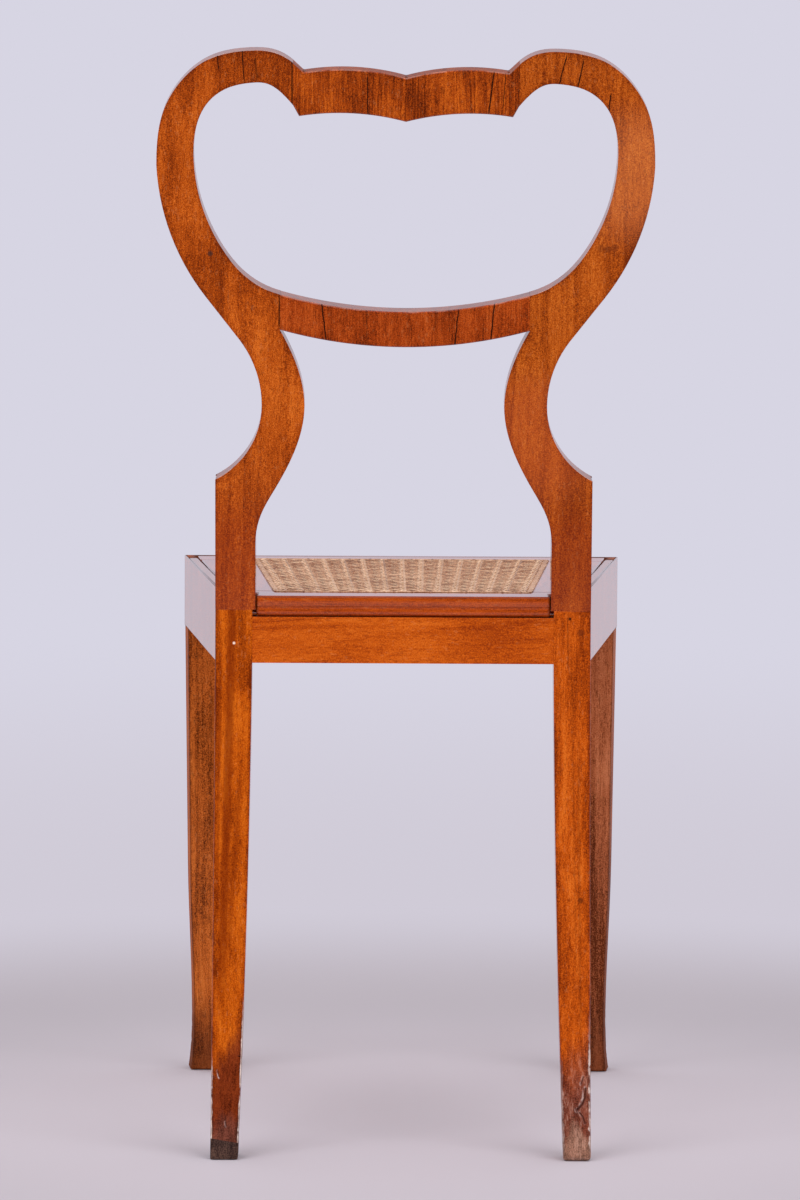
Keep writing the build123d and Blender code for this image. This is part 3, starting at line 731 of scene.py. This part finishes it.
gridded = {  # pieces whose rims darken, and the axes they are cut across
    **{node: (0, 2) for node in finishOf if node.startswith(("rear_veneer", "front_veneer"))},
    "rear_seat_rail": (0, 2),
    "rear_leg_left": (0, 1),
    "rear_leg_right": (0, 1),
}
grooved = {  # along the seat's rear edge
    "node": "seat_frame_rear",
    "share": 0.44,  # of its height
    "width": 0.003, "depth": 0.0012,
    "skin": 0.0015,  # how far in the groove may reach
    "cuts": 4,
}
gouges = {  # width, depth, strength of the painted highlight on one lip, then points along it, across and up
    "rear_leg_right": (
        (
            0.0015, 0.0013, 0.6,
            (-0.144, 0.0405), (-0.1478, 0.045), (-0.15, 0.0495), (-0.1506, 0.0571),
        ),
        (0.001, 0.0009, 0.1, (-0.146, 0.038), (-0.1486, 0.0345), (-0.1502, 0.0299)),
        (0.001, 0.0006, 0.3, (-0.147, 0.061), (-0.1488, 0.0665)),
    ),
    "rear_leg_left": (
        (0.0007, 0.0006, 0.7, (0.1482, 0.065), (0.1496, 0.07)),
        (0.0007, 0.0005, 0.3, (0.142, 0.0262), (0.1428, 0.0295)),
    ),
}
gouging = {  # in widths of the gouge, if nothing else is said
    "grid": 0.0006,  # metres between the cuts
    "margin": 2.5,  # cut so far around it
    "around": 0.006,  # metres, for whole faces
    "facing": 0.7,  # how far a face looks to the rear
    "reach": 2.4,
    "steepness": 1.6, "lipPlace": 1.1, "lipSteepness": 2.2,
    "lipHeight": 0.25,  # of the depth
}
leafThickness = 0.0012
backThickness = 0.021
railLow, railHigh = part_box("rear_seat_rail")
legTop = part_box("rear_veneer_stile_left")[0].z
legCorners = [corner.co for corner in cadNodes["rear_leg_left"].data.vertices]
legInner = min(abs(corner.x) for corner in legCorners if abs(corner.z - legTop) < sameLevel)
tipFaces = cadNodes["rear_foot_tip_left"].data.polygons
spliceFace = max(tipFaces, key=lambda face: face.normal.z * face.area)
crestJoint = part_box("rear_veneer_crest")[1].x
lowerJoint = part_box("rear_veneer_lower_rail")[1].x
backNormal = Vector((0, math.cos(backLean), -math.sin(backLean)))
backFace = backNormal.dot(Vector((0, railHigh.y, legTop)))
jointSeams = [  # planes, each a normal and an offset
    *((Vector((1, 0, 0)), x) for x in (crestJoint, -crestJoint, lowerJoint, -lowerJoint)),
    (Vector((0, 0, 1)), legTop),
    (spliceFace.normal.copy(), spliceFace.normal.dot(spliceFace.center)),
]
leafDepths = (leafThickness, backThickness - leafThickness)
leafSeams = [(backNormal, backFace - depth) for depth in leafDepths]


def onPlanes(corners, planes):
    return any(
        all(abs(normal.dot(corner.co) - offset) < easing["seamReach"] for corner in corners)
        for normal, offset in planes
    )


def meetsRail(corners):  # where a rear leg and the rear rail lie flush
    return all(
        corner.co.y > 0
        and corner.co.z > railLow.z - sameLevel
        and abs(abs(corner.co.x) - legInner) < easing["railReach"]
        for corner in corners
    )


def cutAcross(shape, parts, axis, place):
    normal = Vector([float(index == axis) for index in range(3)])
    bmesh.ops.bisect_plane(shape, geom=parts, plane_co=normal * place, plane_no=normal, dist=weld)


def sliceShape(shape, axis, places):
    for place in places:
        cutAcross(shape, shape.verts[:] + shape.edges[:] + shape.faces[:], axis, place)


def batterFoot(shape, damaged, depth):
    top = damaged * chipping["reach"]
    first = min(corner.co.z for corner in shape.verts) + chipping["firstCut"]
    cuts = [first + index * chipping["step"] for index in range(int(top / chipping["step"]))]
    sliceShape(shape, 2, cuts + [railLow.z])
    near = chipping["sameRing"]
    full, lost = chipping["fading"]
    for corner in shape.verts:
        height = corner.co.z
        if chipping["sole"] < height < top:
            ring = [other.co for other in shape.verts if abs(other.co.z - height) < near]
            middle = sum(ring, Vector()) / len(ring)
            fading = min(1.0, full - lost * height / damaged)
            bumps = sum(share * noise.noise(corner.co * pace) for pace, share in chipping["bumps"])
            knock = max(0.0, bumps + chipping["lift"]) * depth * fading
            corner.co += (middle - corner.co).normalized() * knock


def edgeWear(edge, node):  # 1 low on a foot, 0 above the damage
    damaged, depth, width, share = battered[node]
    low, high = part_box(node)
    height = (edge.verts[0].co.z + edge.verts[1].co.z) / 2
    worn = min(1.0, max(0.0, chipping["edgeFading"] - height / damaged))
    inside = max(abs(vert.co.x) for vert in edge.verts) < abs(low.x + high.x) / 2
    return worn * share if inside else worn


def cornerEdges(shape, node, width):  # how round each corner is, and the corners that aren't seams
    weights = shape.edges.layers.float.new("bevel_weight_edge")
    sharp = math.radians(easing["cornerAngle"])
    outline = []
    for edge in shape.edges:
        if len(edge.link_faces) == 2 and edge.calc_face_angle(0.0) > sharp:
            weight = 1.0
            if node in battered:
                worn = edgeWear(edge, node)
                weight = worn + (1.0 - worn) * easing["width"] / width
            if onPlanes(edge.verts, jointSeams) or meetsRail(edge.verts):
                weight = easing["seamShare"]
            elif onPlanes(edge.verts, leafSeams):
                weight = easing["leafShare"]
            else:
                outline.append([tuple(vert.co) for vert in edge.verts])
            edge[weights] = weight
    return np.array(outline)


def roundCorners(shape, node, width):  # its own faces come back on slot 1
    mesh = bpy.data.meshes.new("scrap")
    shape.to_mesh(mesh)
    shape.free()
    for slot in range(2):
        mesh.materials.append(woods[finishOf[node]])
    scrap = addObject("scrap", mesh)
    bevel = scrap.modifiers.new("easedEdges", "BEVEL")
    bevel.limit_method = "WEIGHT"
    bevel.width = width
    bevel.segments = easing["steps"]
    bevel.use_clamp_overlap = node not in battered
    bevel.material = 1
    evaluated = scrap.evaluated_get(bpy.context.evaluated_depsgraph_get())
    rounded = bpy.data.meshes.new_from_object(evaluated)
    shape = bmesh.new()
    shape.from_mesh(rounded)
    for spent in (mesh, rounded):
        bpy.data.meshes.remove(spent)
    for edge in shape.edges:  # sharp where the rounding ends
        edge.smooth = len({face.material_index for face in edge.link_faces}) == 1
    eased = shape.faces.layers.float.new("eased")
    for face in shape.faces:
        face[eased] = face.material_index
        face.material_index = 0
        face.smooth = True
    return shape


def markRim(shape, outline):  # 1 at a corner, 0 well inside a face
    rims = shape.verts.layers.float.new("rim")
    starts = outline[:, 0]
    runs = outline[:, 1] - starts
    lengths = np.maximum((runs * runs).sum(1), weld ** 2)
    for vert in shape.verts:
        away = np.array(vert.co) - starts
        part = np.clip((away * runs).sum(1) / lengths, 0.0, 1.0)
        nearest = np.sqrt(((away - runs * part[:, None]) ** 2).sum(1).min())
        vert[rims] = max(0.0, 1.0 - nearest / easing["rimWidth"])


def cutGroove(shape):
    low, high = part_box(grooved["node"])
    height = low.z + (high.z - low.z) * grooved["share"]
    shares = [index / grooved["cuts"] - 0.5 for index in range(grooved["cuts"] + 1)]
    sliceShape(shape, 2, [height + grooved["width"] * share for share in shares])
    for corner in shape.verts:
        near = 1.0 - abs(corner.co.z - height) / (grooved["width"] / 2)
        if near > 0 and corner.co.y > high.y - grooved["skin"]:
            corner.co.y -= grooved["depth"] * near


def gridGouge(shape, lows, highs):  # a fine grid on the rear faces around a gouge
    around = gouging["around"]
    for axis, low, high in ((0, lows[0], highs[0]), (2, lows[1], highs[1])):
        for step in range(int((high - low) / gouging["grid"]) + 1):
            faces = []
            for face in shape.faces:
                middle = face.calc_center_median()
                beside = lows[0] - around < middle.x < highs[0] + around
                level = lows[1] - around < middle.z < highs[1] + around
                if beside and level and face.normal.y > gouging["facing"]:
                    faces.append(face)
            parts = {part for face in faces for part in (*face.verts, *face.edges)}
            cutAcross(shape, [*parts, *faces], axis, low + step * gouging["grid"])


def asideOf(point, runs):  # from the nearest place on a path
    asides = []
    for start, run in runs:
        part = min(1.0, max(0.0, (point - start).dot(run) / run.length_squared))
        asides.append(point - start - run * part)
    return min(asides, key=lambda aside: aside.length)


def cutGouges(shape, paths):
    grooves = shape.verts.layers.float.new("groove")
    litLips = shape.verts.layers.float.new("lip")
    for width, depth, pale, *points in paths:
        margin = gouging["margin"] * width
        lows = [min(values) - margin for values in zip(*points)]
        highs = [max(values) + margin for values in zip(*points)]
        gridGouge(shape, lows, highs)
        shape.normal_update()
        pairs = zip(points, points[1:])
        runs = [(Vector(start), Vector(end) - Vector(start)) for start, end in pairs]
        for corner in shape.verts:
            if corner.normal.y > gouging["facing"]:
                aside = asideOf(Vector((corner.co.x, corner.co.z)), runs)
                away = aside.length / width
                if away < gouging["reach"]:
                    past = away - gouging["lipPlace"]
                    deep = math.exp(-(away * gouging["steepness"]) ** 2)
                    raised = math.exp(-(past * gouging["lipSteepness"]) ** 2)
                    corner.co.y -= depth * (deep - gouging["lipHeight"] * raised)
                    corner[grooves] = max(corner[grooves], deep)
                    if aside.x > 0:  # only the lip on this side gets the painted highlight
                        corner[litLips] = max(corner[litLips], raised * pale)


def easeWood(node):
    shape = bmesh.new()
    shape.from_mesh(cadNodes[node].data)
    bmesh.ops.remove_doubles(shape, verts=shape.verts, dist=weld)
    flat = math.radians(easing["flatAngle"])
    bmesh.ops.dissolve_limit(shape, angle_limit=flat, verts=shape.verts, edges=shape.edges)
    width = ownWidth.get(node, easing["width"])
    if node in battered:
        damaged, depth, width, share = battered[node]
        batterFoot(shape, damaged, depth)
    outline = cornerEdges(shape, node, width)
    shape = roundCorners(shape, node, width)
    if node == grooved["node"]:
        cutGroove(shape)
    if node in gouges:
        cutGouges(shape, gouges[node])
    if node in gridded:
        low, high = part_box(node)
        grid = easing["grid"]
        for axis in gridded[node]:
            count = int((high[axis] - low[axis]) / grid)
            places = [low[axis] + grid * (index + 0.5) for index in range(count)]
            sliceShape(shape, axis, places)
        markRim(shape, outline)
    bmesh.ops.dissolve_degenerate(shape, dist=weld, edges=shape.edges)
    mesh = bpy.data.meshes.new(node + ".eased")
    shape.to_mesh(mesh)
    shape.free()
    mesh.materials.append(woods[finishOf[node]])
    placePiece(addObject(node + ".wood", mesh), node)


for node in finishOf:
    easeWood(node)
print("wood pieces eased:", len(finishOf))


# Cane: pairs of strands both ways and two sets of diagonals, fanning with the opening
cane = {
    "lap": 0.012,  # the net's solid past the opening
    "columns": 14, "rows": 21,
    "pairGap": 0.0036,  # between the centres of a pair
    "width": 0.0021, "thickness": 0.00045,
    "profile": ((-0.5, 0.0), (-0.36, 0.8), (0.0, 1.0), (0.36, 0.8), (0.5, 0.0)),
    "sharpAngle": 60,  # degrees
    "overrun": 0.45,  # pitches that a strand runs on to its hole
    "dive": 0.0014,  # how far it goes down there
    "sway": 0.00035, "swayPace": 0.22, "seedPace": 0.017,
    "shade": 0.48,  # painted shade where a strand dips under another, painted highlight where it rides over
    "toneSpread": 0.35,  # from strand to strand
    "stepsPerPitch": 4, "leastSteps": 4, "lookAhead": 0.01,
    "layers": {  # height above the frame, rise over the crossings, tone
        "pairUnder": (0.0001, -0.0003, 0.57),
        "across": (0.00025, 0.0002, 0.56),
        "pairOver": (0.0004, 0.00035, 0.63),
        "slantRight": (0.0005, 0.0002, 0.55),
        "slantLeft": (0.0006, -0.0002, 0.57),
    },
}
binding = {
    "set": 0.0035,  # from the opening
    "width": 0.005,
    "stripShare": 0.9,  # of that width
    "thickness": 0.0006,
    "lift": 0.0003,
    "tone": 0.7,
    "stitchReach": 0.62,  # of the width, to each side
    "stitchHalf": 3,  # steps on each side of its middle
    "stitchRise": 0.0006, "stitchSink": 0.0002,
    "stitchWidth": 0.0022, "stitchThickness": 0.0003,
    "stitchTone": (0.4, 0.3),  # usual and spread
    "stitchPatches": 90,
}
caneLook = {
    "dark": rgb(104, 60, 36), "mid": rgb(198, 144, 108), "light": rgb(246, 208, 174),
    "toneStops": (0.15, 0.5, 0.9),
    "fibre": (900, 900), "patch": (40, 40),
    "shares": (0.75, 1.4, 0.4),  # of the strand's own tone, the fibres and the patches
    "toneDrop": 0.8,
    "frontPaintedShade": 0.12,  # painted shade: the cane darker towards the front
    "roughness": (0.42, 0.2),  # least, and what the fibres add
    "relief": {"Strength": 0.2, "Distance": 0.0003},
    "specular": 0.35,
}
netLow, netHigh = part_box("cane_panel")
netCorners = [corner.co for corner in cadNodes["cane_panel"].data.vertices]


def netHalf(y):
    return max(corner.x for corner in netCorners if abs(corner.y - y) < sameLevel)


rearHalf, frontHalf = netHalf(netHigh.y), netHalf(netLow.y)
fan = (frontHalf - rearHalf) / (netHigh.y - netLow.y)
openingRear = netHigh.y - cane["lap"]
openingFront = netLow.y + cane["lap"]


def openingHalf(y):
    return rearHalf - cane["lap"] + fan * (netHigh.y - y)


def canePoint(column, row):  # columns from the right, rows from the rear
    y = openingRear + (openingFront - openingRear) * row / cane["rows"]
    return Vector(((2 * column / cane["columns"] - 1) * openingHalf(y), y, 0))


def sideOf(heading):
    return Vector((-heading.y, heading.x, 0)).normalized()


def caneFinish():
    material = bpy.data.materials.new("woodyCane")
    sheet = Sheet(material)
    place = sheet.node("TexCoord", output="Object")
    strand = sheet.attribute("strandTone")
    fibre = sheet.noise(place, *caneLook["fibre"])
    patch = sheet.noise(place, *caneLook["patch"])
    ownShare, fibreShare, patchShare = caneLook["shares"]
    tone = strand * ownShare + fibre * fibreShare + patch * patchShare - caneLook["toneDrop"]
    # painted shade, darker towards the front
    rearward = sheet.fade(sheet.axis(place, "Y"), openingFront, openingRear)
    tone = tone - (1.0 - rearward) * caneLook["frontPaintedShade"]
    shades = [caneLook[shade] for shade in ("dark", "mid", "light")]
    least, more = caneLook["roughness"]
    values = {
        "Base Color": sheet.ramp(tone, list(zip(caneLook["toneStops"], shades))),
        "Roughness": least + fibre * more,
        "Normal": sheet.node("Bump", {**caneLook["relief"], "Height": fibre}),
        "Specular IOR Level": caneLook["specular"],
    }
    surface = sheet.node("BsdfPrincipled", values)
    sheet.node("OutputMaterial", {"Surface": surface})
    return material


class StrandMesh:  # collects flat strands with a rounded top
    def __init__(self):
        self.corners, self.faces, self.tones = [], [], []

    def add(self, path, width, thickness, tones):
        first = len(self.corners)
        for index, point in enumerate(path):
            side = sideOf(path[min(index + 1, len(path) - 1)] - path[max(index - 1, 0)])
            for across, height in cane["profile"]:
                raised = Vector((0, 0, height * thickness))
                self.corners.append(point + side * (across * width) + raised)
                self.tones.append(tones[index])
        count = len(cane["profile"])
        for index in range(len(path) - 1):
            low = first + index * count
            high = low + count
            for step in range(count):
                following = (step + 1) % count
                self.faces.append((low + step, low + following, high + following, high + step))
        last = len(self.corners) - count
        self.faces.append(tuple(range(first + count - 1, first - 1, -1)))
        self.faces.append(tuple(range(last, last + count)))

    def build(self, name, material):
        mesh = bpy.data.meshes.new(name)
        mesh.from_pydata(self.corners, [], self.faces)
        tones = mesh.attributes.new("strandTone", "FLOAT", "POINT")
        tones.data.foreach_set("value", self.tones)
        shape = bmesh.new()
        shape.from_mesh(mesh)
        bmesh.ops.recalc_face_normals(shape, faces=shape.faces)
        shape.to_mesh(mesh)
        shape.free()
        mesh.shade_smooth()
        mesh.set_sharp_from_angle(angle=math.radians(cane["sharpAngle"]))
        mesh.materials.append(material)
        return addObject(name, mesh)


def layStrand(strands, start, end, layer, shift=0.0):
    seed = len(strands.corners) * cane["seedPace"]  # its own place in the noise
    height, rise, tone = cane["layers"][layer]
    tone += cane["toneSpread"] * noise.noise(Vector((seed * 3.7, 2.5, 0.0)))
    across, along = end[0] - start[0], end[1] - start[1]
    pitches = max(abs(across), abs(along))
    steps = max(cane["leastSteps"], round(pitches * cane["stepsPerPitch"]))
    ahead = cane["lookAhead"]
    path, tones = [], []
    for step in range(steps + 1):
        column = start[0] + across * step / steps
        row = start[1] + along * step / steps
        point = canePoint(column, row)
        side = sideOf(canePoint(column + across * ahead, row + along * ahead) - point)
        sway = noise.noise(Vector((seed, step * cane["swayPace"], 0.5))) * cane["sway"]
        past = max(0.0, -row, row - cane["rows"], -column, column - cane["columns"])
        crossing = math.cos(2 * math.pi * (column if across else row))
        dive = cane["dive"] * (past / cane["overrun"]) ** 2
        level = netLow.z + height + rise * crossing - dive
        path.append(point + side * (shift + sway) + Vector((0, 0, level)))
        # painted shade where the strand dips, painted highlight where it rides over
        tones.append(tone + math.copysign(cane["shade"], rise) * crossing)
    strands.add(path, cane["width"], cane["thickness"], tones)


def weaveCane(material):
    strands = StrandMesh()
    columns, rows, over = cane["columns"], cane["rows"], cane["overrun"]
    half = cane["pairGap"] / 2
    for column in range(columns + 1):
        for layer, shift in (("pairUnder", half), ("pairOver", -half)):
            layStrand(strands, (column, -over), (column, rows + over), layer, shift)
    for row in range(rows + 1):
        for shift in (half, -half):
            layStrand(strands, (-over, row), (columns + over, row), "across", shift)
    for start in range(-rows + 1, columns):
        low, high = max(start, 0), min(start + rows, columns)
        rear, front = low - start - over, high - start + over
        layStrand(strands, (low - over, rear), (high + over, front), "slantRight")
        mirrored = (columns - low + over, rear), (columns - high - over, front)
        layStrand(strands, *mirrored, "slantLeft")
    placePiece(strands.build("cane.weave", material), "cane_panel")
    return len(strands.faces)


def bindCane(material):
    strip = StrandMesh()
    base = netLow.z + binding["lift"]
    middle = binding["set"] + binding["width"] / 2
    rear, front = openingRear + middle, openingFront - middle
    corners = [
        Vector((side * (openingHalf(y) + middle), y, base))
        for side, y in ((1, rear), (1, front), (-1, front), (-1, rear))
    ]
    half = binding["stitchHalf"]
    usual, spread = binding["stitchTone"]
    for index, corner in enumerate(corners):
        run = corners[(index + 1) % 4] - corner
        steps = cane["rows"] if index % 2 == 0 else cane["columns"]
        path = [corner + run * (step / (2 * steps)) for step in range(2 * steps + 1)]
        width = binding["width"] * binding["stripShare"]
        strip.add(path, width, binding["thickness"], [binding["tone"]] * len(path))
        across, reach = sideOf(run), binding["width"] * binding["stitchReach"]
        for step in range(steps):
            place = corner + run * ((step + 0.5) / steps)
            loop = []
            for part in range(2 * half + 1):
                lean = part / half - 1
                rise = binding["stitchRise"] * (1 - lean ** 4) - binding["stitchSink"]
                loop.append(place + across * (lean * reach) + Vector((0, 0, rise)))
            tone = usual + spread * noise.noise(place * binding["stitchPatches"])
            strip.add(loop, binding["stitchWidth"], binding["stitchThickness"], [tone] * len(loop))
    placePiece(strip.build("cane.binding", material), "cane_binding")


caneWood = caneFinish()
print("cane woven, faces:", weaveCane(caneWood))
bindCane(caneWood)
print("cane bound")
